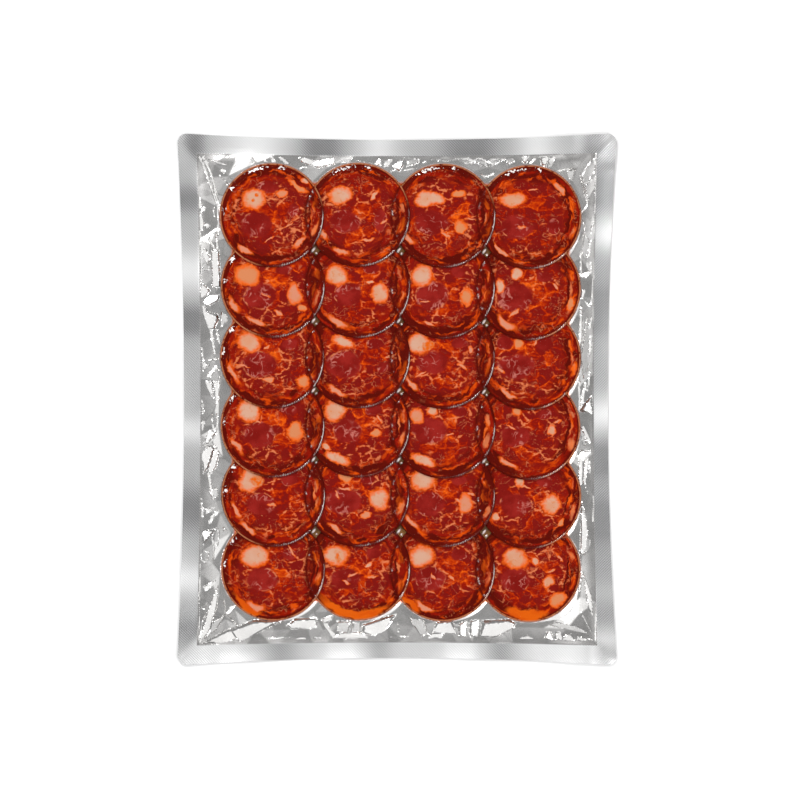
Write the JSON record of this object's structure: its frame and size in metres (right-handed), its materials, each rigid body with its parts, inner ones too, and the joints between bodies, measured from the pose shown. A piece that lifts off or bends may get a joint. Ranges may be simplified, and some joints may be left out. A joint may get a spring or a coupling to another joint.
{
  "type": "vacuum pack of sliced chorizo",
  "caption": "Flat vacuum skin pack of round chorizo slices, shingled in rows on a silver foil backing under clear film with a heat-sealed rim.",
  "frame": {"origin": "middle of the flat foil back, on the surface that the pack lies on", "axes": "+Z out of the film side, +Y towards the top edge of the pack, +X to its right edge"},
  "size_m": [0.195, 0.236, 0.0057],
  "materials": {
    "foil": "satin",
    "chorizo": "satin",
    "film": "gloss"
  },
  "bodies": {
    "root": {"backing_foil": "foil", "slice_r1_c1": "chorizo", "slice_r1_c2": "chorizo", "slice_r1_c3": "chorizo", "slice_r1_c4": "chorizo", "slice_r2_c1": "chorizo", "slice_r2_c2": "chorizo", "slice_r2_c3": "chorizo", "slice_r2_c4": "chorizo", "slice_r3_c1": "chorizo", "slice_r3_c2": "chorizo", "slice_r3_c3": "chorizo", "slice_r3_c4": "chorizo", "slice_r4_c1": "chorizo", "slice_r4_c2": "chorizo", "slice_r4_c3": "chorizo", "slice_r4_c4": "chorizo", "slice_r5_c1": "chorizo", "slice_r5_c2": "chorizo", "slice_r5_c3": "chorizo", "slice_r5_c4": "chorizo", "slice_r6_c1": "chorizo", "slice_r6_c2": "chorizo", "slice_r6_c3": "chorizo", "slice_r6_c4": "chorizo", "clear_film": "film"}
  },
  "joints": []
}
